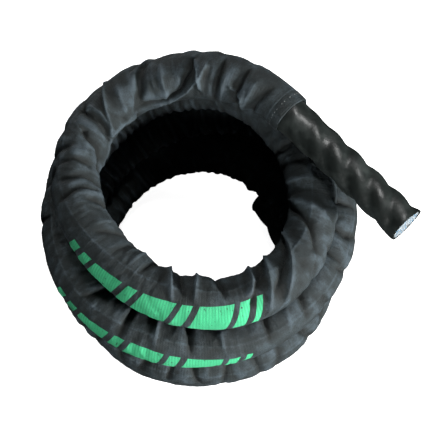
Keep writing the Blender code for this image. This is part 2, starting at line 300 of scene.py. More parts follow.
# Folds of the side that the photograph shows, each from its deep end to where it fades: azimuth
# and angle round the sleeve at both, in degrees (0 outward, 90 up, 180 inward), then its height
# and its widths before and behind it along the rope, in millimetres
FOLDS = (
    (54, 170, 50, 60, -5, 2, 7), (60, 165, 58, 70, 4, 9, 9),
    (67, 178, 64, 60, -7, 2, 8), (75, 165, 73, 70, 4, 10, 10),
    (79, 150, 76, 55, -6.5, 7, 2), (97, 140, 97, 60, 3, 8, 10),
    (106, 150, 105, 60, 4.5, 11, 11), (130, 130, 126, 60, 4, 10, 9),
    (166, 110, 166, 70, 4, 8, 8), (191, 150, 188, 90, 2.5, 7, 7),
    (198, 165, 193, 90, -3.5, 3, 8), (212, 145, 209, 80, 2.5, 8, 6),
    (221, 150, 213, 80, -3, 3, 9), (230, 155, 229, 70, -2.5, 3, 6),
    (240, 150, 240, 80, 2.5, 5, 5), (249, 155, 246, 80, -3.5, 3, 5),
    (259, 150, 268, 50, 4.5, 5, 2), (266, 150, 271, 70, -6.5, 4, 3),
    (274, 150, 276, 60, 5, 2, 7), (286, 155, 289, 70, -5.5, 4, 4),
    (366, 150, 362, 60, 4, 9, 9), (377, 170, 374, 90, -2.5, 9, 5),
    (388, 170, 385, 80, -2.5, 9, 5), (588, 130, 582, 45, -4.5, 3, 6),
    (602, 120, 603, 25, -4, 3, 5), (615, 120, 617, 25, 3, 7, 4),
    (628, 120, 630, 25, -4.5, 4, 3), (641, 120, 642, 30, 3, 3, 8),
    (661, 115, 659, 25, -5, 3, 5), (671, 115, 668, 20, 3, 3, 7),
    (680, 115, 675, 10, -5.5, 3, 5), (703, 120, 700, 15, -4.5, 4, 4),
    (714, 120, 711, 10, -4, 3, 4), (727, 130, 724, 20, -4, 4, 4),
    (742, 100, 746, 0, -4.5, 3, 6), (757, 100, 752, 0, -4, 3, 5),
    (936, 70, 941, -40, -4, 3, 6), (949, 60, 946, -50, -4.5, 3, 5),
    (958, 70, 962, -40, -3.5, 3, 5), (971, 60, 968, -50, -4.5, 3, 6),
    (982, 70, 980, -40, -4, 3, 4), (990, 60, 994, -50, -4.5, 3, 6),
    (1004, 70, 1001, -40, -4, 3, 6), (1015, 60, 1018, -50, -4.5, 3, 5),
    (1026, 70, 1023, -40, -4, 3, 5), (1037, 60, 1042, -50, -4.5, 3, 6),
    (1052, 70, 1048, -40, -4, 3, 6), (1066, 60, 1069, -50, -4.5, 3, 6),
    (1081, 70, 1077, -40, -4, 3, 6), (1095, 60, 1099, -50, -4, 3, 6),
    (1132, 185, 1132, 60, 5, 16, 16), (1398, 190, 1398, 60, 6, 10, 7),
)

# Folds along bent lines: height and the widths to the right and left of the line, in
# millimetres, then the line's points of azimuth and angle, in degrees
CREASES = (
    (4, 1.5, 4, ((131, 50), (136, 87), (143, 132), (150, 168))),
    (-6, 4, 3, ((146, 62), (146, 108), (147.5, 139), (149, 162))),
    (2.5, 2, 2, ((147, 65), (143, 73), (142, 101), (144, 133))),
    (-8, 2, 6, ((114, 55), (115, 64), (119, 118), (126, 169))),
    (4, 3, 3, ((126, 177), (137, 166), (147, 161))),
    (-7, 3, 3, ((122, 161), (115, 170), (107, 175), (98, 153), (92, 107), (91, 80))),
    (4.5, 2, 4, ((112, 185), (103, 182), (95, 160), (92, 149), (86, 126), (84, 100))),
    (4, 2, 3, ((91, 73), (88, 114), (87, 150))),
    (-7, 2, 5, ((156, 95), (158, 109), (160, 141), (164, 161), (172, 164))),
    (3, 3, 3, ((150, 168), (159, 197), (165, 200))),
    (-1.6, 2, 4, ((173, 49), (171, 88), (173, 131))),
    (-2, 2.5, 4.5, ((181, 60), (180, 106), (184, 155))),
    (-2, 2, 5, ((190, 55), (187, 100), (189, 140))),
    (3, 2, 3, ((70, 140), (63, 157), (61, 190), (52, 180), (47, 161), (44, 144))),
    (4, 5, 3, ((305, 151), (303, 108), (300, 80))),
    (-3.5, 3, 4, ((311, 145), (308, 120), (302, 89), (298, 60))),
    (4.5, 3, 6, ((315, 145), (313, 127), (309, 89), (305, 48), (304, 35))),
    (-4, 3, 4, ((329, 150), (322, 115), (315, 88), (309, 62))),
    (5, 3, 6, ((333, 148), (327, 113), (322, 90), (314, 53), (311, 35))),
    (-4, 3, 6, ((350, 165), (343, 110), (338, 85), (333, 62))),
    (3, 7, 4, ((355, 150), (351, 110), (348, 70))),
)
# How far off its line a fold reaches, which shares of it are looked through, and its fading
FOLD_REACH = 70 * MM
FOLD_SPAN = (-0.5, 1)
FADE_BEFORE_SHARE = 0.12
FADE_BEFORE_SOFTNESS = 6
FADE_FROM_SHARE = 0.4
FOLD_SCALE = 1.25 * MM
CREASE_SCALE = 1.6 * MM

# How the cloth is turned on the rope: azimuth and angle of the print's middle line, in degrees
CLOTH_TURNS = (
    (43, -20), (180, -17), (210, 1), (265, 27), (300, 33), (400, 20), (500, -8), (580, -10),
    (610, 6), (626, 0), (645, -15), (760, -40), (1483, -40),
)
LEAST_CLOTH_RADIUS = ROPE_RADIUS + SLEEVE_WALL + CLEARANCE
MOST_CLOTH_RADIUS = 0.0362
LEAST_BOOT_CLOTH_RADIUS = BOOT_RADIUS + 2 * CLEARANCE
SEAM_ANGLE = math.radians(70)
SEAM_HEIGHT = 0.7 * MM
SEAM_WIDTH = 1.3 * MM

GATHER_SHARE = 0.2
GATHER_VALLEY_SHARE = 0.5
GATHER_EDGE = 0.06
GATHER_WANDER = 0.9
GATHER_WANDER_CELL = 40 * MM
GATHER_WANDER_CELLS = 5
GATHER_INNER_FROM = 0.45
GATHER_INNER_SPAN = 1.2
# Waves of the gathers: how many to one spacing, cells around the sleeve, seed, share
GATHER_WAVES = ((1, 3, 2, 1), (2.3, 6, 3, 0.3))
# Crumples: cell along the sleeve, cells around it, height, share of a cell that a ridge takes
CRUMPLES = (
    (16 * MM, 5, 0.8 * MM, 0.4),
    (7 * MM, 6, 0.35 * MM, 0.5),
)
CRUMPLE_SHARPNESS = 1.5
PATCH_CELL = 50 * MM
PATCH_CELLS = 3
PATCH_CONTRAST = 1.2
LUMP_CELL = 45 * MM
LUMP_CELLS = 3
LUMP_HEIGHT = 1.3 * MM
CONTACT_GAP = 0.3 * MM
CONTACT_SOFTNESS = 0.012
CONTACT_FREE = 4.0
NEIGHBOUR_TURNS = 0.25


def gathers(distances, angles):
    """Creases across the sleeve with soft swellings between them, deepest inside the bend."""
    azimuths = route.azimuth(distances)
    spacing = table_value(GATHERS, 1, azimuths) * MM
    height = table_value(GATHERS, 2, azimuths)[:, None] * MM
    outer_share = table_value(GATHERS, 3, azimuths)[:, None]
    count = np.cumsum(np.gradient(distances) / spacing)[:, None]
    wander = GATHER_WANDER * tube_noise(distances, angles, GATHER_WANDER_CELL,
                                        GATHER_WANDER_CELLS, WANDER_SEED)
    around = (angles / math.tau) % 1.0
    total = 0.0
    for waves, cells, seed, share in GATHER_WAVES:
        wave = lattice_noise(waves * count + wander, around * cells, cells, seed)
        wave = np.sqrt(wave ** 2 + GATHER_EDGE ** 2) * 2 - GATHER_VALLEY_SHARE
        total = total + share * wave
    inner = smooth_step((GATHER_INNER_FROM - np.cos(angles)) / GATHER_INNER_SPAN)
    return height * blend(outer_share, 1, inner) * total


# Folds of the side behind, which the photograph doesn't show. By azimuth, in degrees: where they
# lie along the coil, the front of each turn, and where the lower turns step down, both without
HIDDEN_FROM, HIDDEN_TO = 66, 1385
FRONT_FROM, FRONT_TO = 196, 325
STEPS_FROM, STEPS_TO = 700, 105
# The least and the most of their spacing, start angle, length around and drift, in degrees,
# then of their depth and their widths, in millimetres, and the lowest angle that they come to
HIDDEN_SPACING = (7, 15)
HIDDEN_START = (-5, 50)
HIDDEN_LENGTH = (45, 100)
HIDDEN_DRIFT = (-7, 7)
HIDDEN_DEPTH = (2.2, 4.4)
HIDDEN_NARROW = (2, 3.5)
HIDDEN_WIDE = (4, 8)
HIDDEN_LOWEST = -62


def hidden_folds():
    """Rows like those of the table of folds, drawn at random for the side behind."""
    random = np.random.default_rng(HIDDEN_SEED)
    rows = []
    azimuth = HIDDEN_FROM
    while azimuth < HIDDEN_TO:
        start = random.uniform(*HIDDEN_START)
        end = max(start - random.uniform(*HIDDEN_LENGTH), HIDDEN_LOWEST)
        widths = [random.uniform(*HIDDEN_NARROW), random.uniform(*HIDDEN_WIDE)]
        random.shuffle(widths)
        end_azimuth = azimuth + random.uniform(*HIDDEN_DRIFT)
        stepping = azimuth > STEPS_FROM and azimuth % 360 < STEPS_TO
        if not (stepping or FRONT_FROM < azimuth % 360 < FRONT_TO):
            depth = random.uniform(*HIDDEN_DEPTH)
            rows.append((azimuth, start, end_azimuth, end, -depth, *widths))
        azimuth += random.uniform(*HIDDEN_SPACING)
    return tuple(rows)


def rows_near(distances, line):
    """The rings that a fold along a line of distances can reach."""
    return slice(np.searchsorted(distances, line.min() - FOLD_REACH),
                 np.searchsorted(distances, line.max() + FOLD_REACH))


def folds(distances, angles):
    """The folds of the table and those of the hidden side, added up."""
    total = np.zeros((len(distances), len(angles)))
    for azimuth, angle, end_azimuth, end_angle, height, before, behind in FOLDS + hidden_folds():
        drift = end_azimuth - azimuth
        rows = rows_near(distances, route.distance_at(azimuth + drift * np.array(FOLD_SPAN)))
        start, end = math.radians(angle), math.radians(end_angle)
        middle = (start + end) / 2
        near = wrapped(angles - middle) + middle
        share = (near - start) / (end - start)
        across = distances[rows, None] - route.distance_at(azimuth + drift * share)
        width = np.where(across < 0, before, behind) * MM
        fading = 1 - smooth_step((share - FADE_FROM_SHARE) / (1 - FADE_FROM_SHARE))
        starting = np.exp(-(share / FADE_BEFORE_SHARE) ** 2 / FADE_BEFORE_SOFTNESS)
        fade = np.where(share > 0, fading, starting)
        total[rows] += height * FOLD_SCALE * fade * np.exp(-np.abs(across) / width)
    return total


def creases(distances, angles):
    """The bent lines of the table, each with its own width on either side."""
    total = np.zeros((len(distances), len(angles)))
    for height, right, left, line in CREASES:
        azimuths, line_angles = np.array(line).T
        line_along = route.distance_at(azimuths)
        corners = list(zip(line_along, np.radians(line_angles) * SLEEVE_RADIUS))
        rows = rows_near(distances, line_along)
        along, across = distances[rows, None], angles * SLEEVE_RADIUS
        nearest = np.full((len(along), len(across)), np.inf)
        side = np.zeros(nearest.shape)
        for (start_along, start_across), (end_along, end_across) in zip(corners, corners[1:]):
            step_along, step_across = end_along - start_along, end_across - start_across
            off_along, off_across = along - start_along, across - start_across
            share = off_along * step_along + off_across * step_across
            share = np.clip(share / (step_along ** 2 + step_across ** 2), 0.0, 1.0)
            off_along, off_across = off_along - share * step_along, off_across - share * step_across
            apart = np.hypot(off_along, off_across)
            nearer = apart < nearest
            nearest = np.where(nearer, apart, nearest)
            side = np.where(nearer, step_along * off_across - step_across * off_along, side)
        width = np.where(side < 0, right, left) * MM
        total[rows] += height * CREASE_SCALE * np.exp(-nearest / width)
    return total


def cloth_angles(distances, angles):
    """The angle on the cloth from the print's middle line."""
    turned = np.radians(table_value(CLOTH_TURNS, 1, route.azimuth(distances)))
    return angles - turned[:, None]


def crumples(distances, angles):
    """Thin ridges and creases that cross each other, in some patches more than in others."""
    total = np.zeros((len(distances), len(angles)))
    for index, (cell, count, height, width) in enumerate(CRUMPLES):
        for sign in (1, -1):
            seed = CRUMPLE_SEED + 2 * index + (sign > 0)
            line = np.abs(tube_noise(distances, angles, cell, count, seed))
            patch = tube_noise(distances, angles, PATCH_CELL, PATCH_CELLS, seed + PATCH_SEED_STEP)
            patch = smooth_step(0.5 + PATCH_CONTRAST * patch)
            ridge = np.clip(1 - line / width, 0.0, 1.0) ** CRUMPLE_SHARPNESS
            total += sign * height * patch * ridge
    return total


def seam(distances, angles):
    """The ridge of the sewn seam that runs the length of the sleeve."""
    from_seam = wrapped(cloth_angles(distances, angles) - SEAM_ANGLE)
    return SEAM_HEIGHT * np.exp(-(from_seam * SLEEVE_RADIUS / SEAM_WIDTH) ** 2)


def contact_scale(reach, limit):
    """What brings each length that reaches past its limit back to it, with a rounded change."""
    facing = reach > 0
    share = np.clip(limit / np.where(facing, reach, 1.0), 0.0, CONTACT_FREE)
    eased = -CONTACT_SOFTNESS * np.logaddexp(-1 / CONTACT_SOFTNESS, -share / CONTACT_SOFTNESS)
    return np.where(facing, eased, 1.0)


# How much longer the cloth is than the rope in it, by azimuth along the coil in degrees
FULLNESS = (
    (43, 0.74), (160, 0.74), (180, 0.79), (240, 0.79), (300, 0.84), (335, 0.8), (410, 0.82),
    (450, 1.08), (500, 1.1), (580, 1.1), (700, 1.12), (800, 1.15), (880, 1.18), (1080, 1.15),
    (1130, 1), (1483, 1),
)
# Settling, for each grid: rounds, how much bends are evened out, share of the extra length
SETTLING = ((200, 0.03, 0.9), (150, 0.12, 0.95), (90, 0.3, 1))
HOLD_SHARE = 0.02
SHEAR_SHARE = 0.2
AROUND_SHARE = 0.7
STRETCH_SHARE = 1.01
FIXED_RINGS = 3
START_NOISE = 2.5 * MM
START_CELL = 28 * MM
START_CELLS = 5


def pull_apart(first, second, rest, stiffness):
    """Moves each pair of points half way toward its rest length."""
    gap = second - first
    step = gap * (stiffness * (0.5 - 0.5 * rest / lengths(gap)))[..., None]
    first += step
    second -= step


def keep_off_rope(points, centres, least):
    """Keeps the cloth outside what it covers, and no further off than it may be."""
    rays = points - centres[:, None]
    length = lengths(rays)
    scale = np.clip(length, least, MOST_CLOTH_RADIUS) / length
    return centres[:, None] + rays * scale[..., None]


def settle(layout, points, axial, around, centres, least, rounds, bend_share):
    """Lets the cloth find its length: there is more of it than of the rope, so it buckles."""
    diagonal = np.sqrt(axial ** 2 + ((around[:-1] + around[1:]) / 2) ** 2)
    for _ in range(rounds):
        for first in (0, 1):
            low, high = points[first:-1:2], points[first + 1::2]
            pull_apart(low, high, axial[first::2], 1.0)
            for roll in (-1, 1):
                across = np.roll(high, roll, axis=1)
                pull_apart(low, across, diagonal[first::2], SHEAR_SHARE)
                high[:] = np.roll(across, -roll, axis=1)
        for roll in (0, 1):
            turned = np.roll(points, -roll, axis=1)
            turned_rest = np.roll(around, -roll, axis=1)
            pull_apart(turned[:, 0::2], turned[:, 1::2], turned_rest[:, 0::2], AROUND_SHARE)
            points = np.roll(turned, roll, axis=1)
        moved = points - layout
        moved[1:-1] += bend_share * ((moved[:-2] + moved[2:]) / 2 - moved[1:-1])
        beside = (np.roll(moved, 1, axis=1) + np.roll(moved, -1, axis=1)) / 2
        moved += bend_share * (beside - moved)
        moved *= 1 - HOLD_SHARE
        moved[:FIXED_RINGS] = 0.0
        moved[-FIXED_RINGS:] = 0.0
        points = keep_off_rope(layout + moved, centres, least)
    return points


def double_rows(grid, before, after):
    """Puts a smooth row between each two: 9/16 of both, less 1/16 of the next on each side."""
    rows = np.concatenate((before, grid, after))
    between = (9 * (rows[1:-2] + rows[2:-1]) - rows[:-3] - rows[3:]) / 16
    result = np.empty((len(grid) + len(between), *grid.shape[1:]))
    result[0::2] = grid
    result[1::2] = between
    return result


def doubled(grid):
    """The grid with twice its rows and twice its columns, which close."""
    grid = double_rows(grid, 2 * grid[:1] - grid[1:2], 2 * grid[-1:] - grid[-2:-1])
    columns = grid.swapaxes(0, 1)
    columns = double_rows(columns, columns[-1:], columns[:2])
    return np.ascontiguousarray(columns.swapaxes(0, 1))


def press(distances, points):
    """Flattens the sleeve where it lies against the next turn, the near boot or the floor."""
    centres = route.frames(distances)[0]
    turns = route.turn(distances)
    for index, (centre, turn) in enumerate(zip(centres, turns)):
        rays = points[index] - centre
        for other_turn in (turn - 1, turn + 1):
            near = np.abs(route.turns - other_turn) < NEIGHBOUR_TURNS
            if near.any():
                axis = route.points[near]
                to_axis = points[index][:, None] - axis[None]
                nearest = np.argmin((to_axis ** 2).sum(axis=2), axis=1)
                toward = axis[nearest] - centre
                apart, toward = lengths(toward), units(toward)
                on_boot = route.distances[near][nearest] < BOOT_SHOWN
                other_radius = np.where(on_boot, BOOT_RADIUS, SLEEVE_RADIUS)
                limit = (apart + SLEEVE_RADIUS - other_radius - CONTACT_GAP) / 2
                rays = rays * contact_scale((rays * toward).sum(axis=1), limit)[:, None]
        points[index] = centre + rays * contact_scale(-rays[:, 2], centre[2])[:, None]
    return points


def tube_mesh(name, points, cloth=None, capped=False):
    """A mesh of one tube or several, through rings of points. Cloth is its places for a texture."""
    corner = np.arange(points[..., 0].size).reshape(points.shape[:-1])
    beside = np.roll(corner, -1, axis=-1)
    quads = np.stack((corner[..., :-1, :], beside[..., :-1, :], beside[..., 1:, :],
                      corner[..., 1:, :]), axis=-1).reshape(-1, 4)
    if capped:
        quads = quads.tolist() + corner[:, 0, ::-1].tolist() + corner[:, -1].tolist()
    mesh = bpy.data.meshes.new(name)
    mesh.from_pydata(points.reshape(-1, 3), [], quads)
    if cloth:
        along, across = cloth
        place = np.stack(np.broadcast_arrays(along[:, None], across), axis=-1)
        corners = np.stack((place[:-1, :-1], place[:-1, 1:], place[1:, 1:], place[1:, :-1]), axis=2)
        layer = mesh.uv_layers.new(name="cloth")
        layer.data.foreach_set("uv", corners.astype(np.float32).ravel())
    mesh.shade_smooth()
    return mesh


def add_object(name, data):
    added = bpy.data.objects.new(name, data)
    bpy.context.scene.collection.objects.link(added)
    return added


def make_piece(name, mesh, material):
    body = bmesh.new()
    body.from_mesh(mesh)
    bmesh.ops.recalc_face_normals(body, faces=body.faces)
    body.to_mesh(mesh)
    body.free()
    piece = add_object(name, mesh)
    mesh.materials.append(material)
    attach(piece, "root")
    return piece


HEM_LIP_HEIGHT = 1.2 * MM
HEM_LIP_RISE = 3 * MM
HEM_LIP_LENGTH = 25 * MM
WRINKLE_START_LENGTH = 40 * MM


def sleeve_radius(distances):
    """The loose sleeve's radius, drawn in at the hems, its share of wrinkles, and its least."""
    from_end = np.minimum(distances - BOOT_SHOWN, route.length - BOOT_SHOWN - distances)
    past_hem = from_end - HEM_LENGTH
    lip = np.exp(-np.maximum(past_hem, 0) / HEM_LIP_LENGTH)
    lip = smooth_step(past_hem / HEM_LIP_RISE + 1) * lip
    end_radius = SLEEVE_END_RADIUS + HEM_LIP_HEIGHT * lip
    radius = blend(end_radius, SLEEVE_RADIUS, smooth_step(past_hem / SLEEVE_TAPER_LENGTH))
    on_boot = from_end < BOOT_UNDER_SLEEVE + HEM_LENGTH
    least = np.where(on_boot, LEAST_BOOT_CLOTH_RADIUS, LEAST_CLOTH_RADIUS)
    return radius, smooth_step(past_hem / WRINKLE_START_LENGTH), least[:, None]


def side_angles(sides):
    """The sleeve's angles, from its underside round to there again."""
    return -math.pi / 2 + full_turn(sides, 1)


def cloth_layout(distances, sides, length_share):
    """Where the cloth would lie with its chosen folds alone, and its lengths along and around."""
    angles = side_angles(sides)[:-1]
    radius, opened, least = sleeve_radius(distances)
    lumps = tube_noise(distances, angles, LUMP_CELL, LUMP_CELLS, LUMP_SEED) * LUMP_HEIGHT
    wrinkles = GATHER_SHARE * gathers(distances, angles) + folds(distances, angles)
    wrinkles += creases(distances, angles) + lumps
    radii = np.maximum(radius[:, None] + wrinkles * opened[:, None], least)
    layout = route.rings(distances, radii, angles)
    step = distances[1] - distances[0]
    fullness = table_value(FULLNESS, 1, route.azimuth(distances[:-1] + step / 2))
    fullness = blend(1.0, fullness, length_share * opened[:-1])[:, None]
    spacing = lengths(np.diff(layout, axis=0))
    plain = route.rings(distances, radius[:, None], angles)
    around_rest = lengths(np.roll(plain, -1, axis=1) - plain) * STRETCH_SHARE
    return layout, np.maximum(step * fullness, spacing * STRETCH_SHARE), around_rest


def first_moves(distances, layout):
    """Small random moves off the rope and towards it, from which the cloth starts to buckle."""
    sides = layout.shape[1]
    around = np.arange(sides) / sides * START_CELLS
    noise = lattice_noise(distances[:, None] / START_CELL, around, START_CELLS, START_SEED)
    noise *= START_NOISE * sleeve_radius(distances)[1][:, None]
    rays = layout - route.frames(distances)[0][:, None]
    return rays * (noise / lengths(rays))[..., None]


def gathered_cloth(near, far):
    """The sleeve's cloth, settled on a coarse grid for its large folds and on finer ones."""
    count, sides = 2 * round((far - near) / SLEEVE_RING_STEP / 2), SLEEVE_SIDES
    moved = None
    for rounds, bend_share, length_share in SETTLING:
        distances = np.linspace(near, far, count + 1)
        layout, axial, around = cloth_layout(distances, sides, length_share)
        if moved is None:
            moved = first_moves(distances, layout)
        centres, least = route.frames(distances)[0], sleeve_radius(distances)[2]
        points = settle(layout, layout + moved, axial, around, centres, least, rounds, bend_share)
        moved = doubled(points - layout)
        count, sides = 2 * count, 2 * sides
    distances = np.linspace(near, far, count + 1)
    return distances, cloth_layout(distances, sides, 1.0)[0] + moved


# Painted highlight on crests and painted shade in creases, as a tone: cells that are averaged each
# way, height of a full tone, share
CREST_HIGHLIGHT_AND_SHADE = ((8, 1.4 * MM, 0.8), (2, 0.2 * MM, 0.1))


def box_blur(grid, reach):
    """The mean over a window of that many cells each way, on a grid that closes around."""
    padded = np.pad(grid, ((reach, reach), (0, 0)), mode="edge")
    padded = np.pad(padded, ((0, 0), (reach, reach)), mode="wrap")
    sums = np.pad(padded.cumsum(axis=0).cumsum(axis=1), ((1, 0), (1, 0)))
    size = 2 * reach + 1
    total = sums[size:, size:] - sums[:-size, size:] - sums[size:, :-size] + sums[:-size, :-size]
    return total / size ** 2


def painted_crest_highlight_and_shade(radii):
    """How far each point stands on a crest, from -1 in a crease to 1 on a ridge: the cloth's colour
    takes it as painted shade in the creases and painted highlight on the ridges.
    """
    tone = sum(share * ((radii - box_blur(radii, reach)) / height)
               for reach, height, share in CREST_HIGHLIGHT_AND_SHADE)
    return np.clip(tone, -1.0, 1.0)


def make_sleeve(material):
    distances, points = gathered_cloth(BOOT_SHOWN, route.length - BOOT_SHOWN)
    columns = side_angles(points.shape[1])
    angles = columns[:-1]
    _, opened, least = sleeve_radius(distances)
    raised = crumples(distances, angles) * opened[:, None] + seam(distances, angles)
    centres = route.frames(distances)[0]
    rays = points - centres[:, None]
    points += rays * (raised / lengths(rays))[..., None]
    points = press(distances, keep_off_rope(points, centres, least))
    across = cloth_angles(distances, columns) * SLEEVE_RADIUS
    mesh = tube_mesh("sleeve", points, (distances, across))
    # Painted light: this tone darkens the cloth in its creases and lightens it on its ridges
    crest = painted_crest_highlight_and_shade(lengths(points - centres[:, None]))
    layer = mesh.attributes.new("crest", "FLOAT", "POINT")
    layer.data.foreach_set("value", crest.astype(np.float32).ravel())
    piece = make_piece("sleeve", mesh, material)
    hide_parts("fabric_sleeve")
    return piece


def lobe_circle(crest, groove):
    """How far a lobe's circle is off the rope's axis, and its radius."""
    offset = (crest ** 2 - groove ** 2) / (2 * crest - groove)
    return offset, crest - offset


def lobe_radius(angle, crest, groove):
    """Outline of three equal overlapping circles, whose lobes are at 0, 120 and 240 degrees."""
    spacing = math.tau / STRAND_COUNT
    from_lobe = (angle + spacing / 2) % spacing - spacing / 2
    offset, circle = lobe_circle(crest, groove)
    across = offset * np.sin(from_lobe)
    return offset * np.cos(from_lobe) + np.sqrt(circle ** 2 - across ** 2)


FILM_BRIDGE = 0.8 * MM
FILM_BRIDGE_AT_HEM = 2.9 * MM
FILM_BRIDGE_LENGTH = 0.085
FILM_BRIDGE_SOFTNESS = 0.35 * MM


def film_radii(distances, angles, growth):
    """The film over the lay: it bridges the grooves and flares at the tip."""
    crest, groove = ROPE_RADIUS + growth, GROOVE_RADIUS + growth
    lay = math.tau * distances[:, None] / LAY_LENGTH
    radius = lobe_radius(angles + lay, crest, groove)
    from_tip = np.minimum(distances, route.length - distances)[:, None]
    slack = smooth_step((BOOT_SHOWN - from_tip) / FILM_BRIDGE_LENGTH)
    bridge = groove + blend(FILM_BRIDGE_AT_HEM, FILM_BRIDGE, slack)
    radius = FILM_BRIDGE_SOFTNESS * np.logaddexp(radius / FILM_BRIDGE_SOFTNESS,
                                                 bridge / FILM_BRIDGE_SOFTNESS)
    return radius + BOOT_FLARE * smooth_step(1 - from_tip / BOOT_FLARE_LENGTH)


def make_boot(name, node, far_end, material):
    length = BOOT_SHOWN + BOOT_UNDER_SLEEVE
    distances = np.linspace(-BOOT_LIP, length, round(length / BOOT_RING_STEP))
    if far_end:
        distances = route.length - distances[::-1]
    angles = full_turn(BOOT_SIDES)
    outer, inner = (route.rings(distances, film_radii(distances, angles, growth), angles)
                    for growth in (CLEARANCE + FILM_THICKNESS, CLEARANCE))
    rings = np.concatenate((outer, inner[::-1], outer[:1]))
    piece = make_piece(name, tube_mesh(name, rings), material)
    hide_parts(node)


HEM_SIDES = 176
HEM_SECTION_SIDES = 40
HEM_BORE_GAP = CLEARANCE / 3
HEM_PUCKERS = 26
HEM_PUCKER_HEIGHT = 0.7 * MM
HEM_PUCKER_CELL = 9 * MM
HEM_ALONG_POWER = 0.3
HEM_OUT_POWER = 0.7
STITCH_LINE = 8.5 * MM
STITCH_GROOVE = 0.5 * MM
STITCH_GROOVE_WIDTH = 1.2 * MM
STITCH_PITCH = 4.0 * MM
STITCH_LENGTH = 2.3 * MM
STITCH_RADIUS = 0.32 * MM
STITCH_ARCH = 0.35 * MM
STITCH_TIP_SHARE = 0.04
STITCH_RINGS = 9
STITCH_SIDES = 8


def end_distances(along, far_end):
    """Distances along the rope from lengths measured inward from the edge of a boot's film."""
    distances = BOOT_SHOWN + along
    return route.length - distances if far_end else distances


def make_hem(name, node, far_end, material):
    """The sleeve's turned end: a puckered band with soft edges and a groove for its stitches."""
    outside = -CLEARANCE - HEM_THICKNESS
    half_length = (HEM_LENGTH - outside) / 2
    bore = BOOT_RADIUS + HEM_BORE_GAP
    half_height = (HEM_RADIUS - bore) / 2
    section = full_turn(HEM_SECTION_SIDES, 1)
    cosine, sine = np.cos(section), np.sin(section)
    along = outside + half_length * (1 + np.sign(cosine) * np.abs(cosine) ** HEM_ALONG_POWER)
    height = (np.sign(sine) * np.abs(sine) ** HEM_OUT_POWER)[:, None]
    angles = full_turn(HEM_SIDES)
    pucker = lattice_noise(along[:, None] / HEM_PUCKER_CELL, angles / math.tau * HEM_PUCKERS,
                           HEM_PUCKERS, PUCKER_SEED)
    groove = STITCH_GROOVE * np.exp(-((along - STITCH_LINE) / STITCH_GROOVE_WIDTH) ** 2)
    raised = HEM_PUCKER_HEIGHT * (pucker - 0.5) - groove[:, None]
    radii = bore + half_height * (1 + height) + np.clip(height, 0.0, 1.0) * raised
    distances = end_distances(along, far_end)
    across = full_turn(HEM_SIDES, 1) * HEM_RADIUS
    mesh = tube_mesh(name, route.rings(distances, radii, angles), (distances, across))
    piece = make_piece(name, mesh, material)
    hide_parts(node)
    return piece


def make_stitches(name, far_end, material):
    """White thread round the hem, one short arched stitch after another."""
    count = round(math.tau * HEM_RADIUS / STITCH_PITCH)
    place = np.linspace(-1.0, 1.0, STITCH_RINGS)
    centre, outward, upward, tangent = route.frame(end_distances(STITCH_LINE, far_end))
    angles = full_turn(count)[:, None] + place * STITCH_LENGTH / 2 / HEM_RADIUS
    radii = HEM_RADIUS - HEM_PUCKER_HEIGHT / 2 - STITCH_GROOVE + STITCH_ARCH * (1 - place ** 2)
    rays = outward * np.cos(angles)[..., None] + upward * np.sin(angles)[..., None]
    middles = centre + rays * radii[:, None]
    thickness = STITCH_RADIUS * np.sqrt(1 + STITCH_TIP_SHARE - place ** 4)
    turn = full_turn(STITCH_SIDES)[:, None]
    sides = rays[:, :, None] * np.cos(turn) + tangent * np.sin(turn)
    tubes = middles[:, :, None] + sides * thickness[:, None, None]
    return make_piece(name, tube_mesh(name, tubes, capped=True), material)


STRAND_RING_STEP = 5 * MM
STRAND_ARC_SIDES = 31
STRAND_FLANK_SIDES = 5
YARN_COUNT = 54
YARN_GROOVE = 0.35 * MM
TIP_ROWS = 9
TIP_ROW_SHARE = math.sqrt(0.75)
TIP_PITCH = 2.3 * MM
TIP_RADIUS = 1.12 * MM
TIP_SIDES = 8
TIP_MARGIN = 0.95 * MM
TIP_BURIED = 1.5 * MM
TIP_HEIGHTS = (0.4 * MM, 1.5 * MM)
TIP_OUTLINE = ((0, 1), (0.3, 1), (0.7, 0.88), (0.93, 0.55), (1, 0.15))
MARKER_EVERY = 4


def strand_outline():
    """A third of the rope's section, as in the part, with room for its yarns' grooves."""
    half_gap, half_sector = CLEARANCE / 2, math.pi / STRAND_COUNT
    apex = np.array((half_gap / math.sin(half_sector), 0.0))
    corner = half_sector - math.asin(half_gap / GROOVE_RADIUS)
    arc = np.linspace(-corner, corner, STRAND_ARC_SIDES)
    radii = lobe_radius(arc, ROPE_RADIUS, GROOVE_RADIUS)
    curve = np.stack((radii * np.cos(arc), radii * np.sin(arc)), axis=1)
    share = (np.arange(STRAND_FLANK_SIDES) / STRAND_FLANK_SIDES)[:, None]
    first = apex + (curve[0] - apex) * share
    last = (apex + (curve[-1] - apex) * share)[:0:-1]
    return np.vstack((first, curve, last))


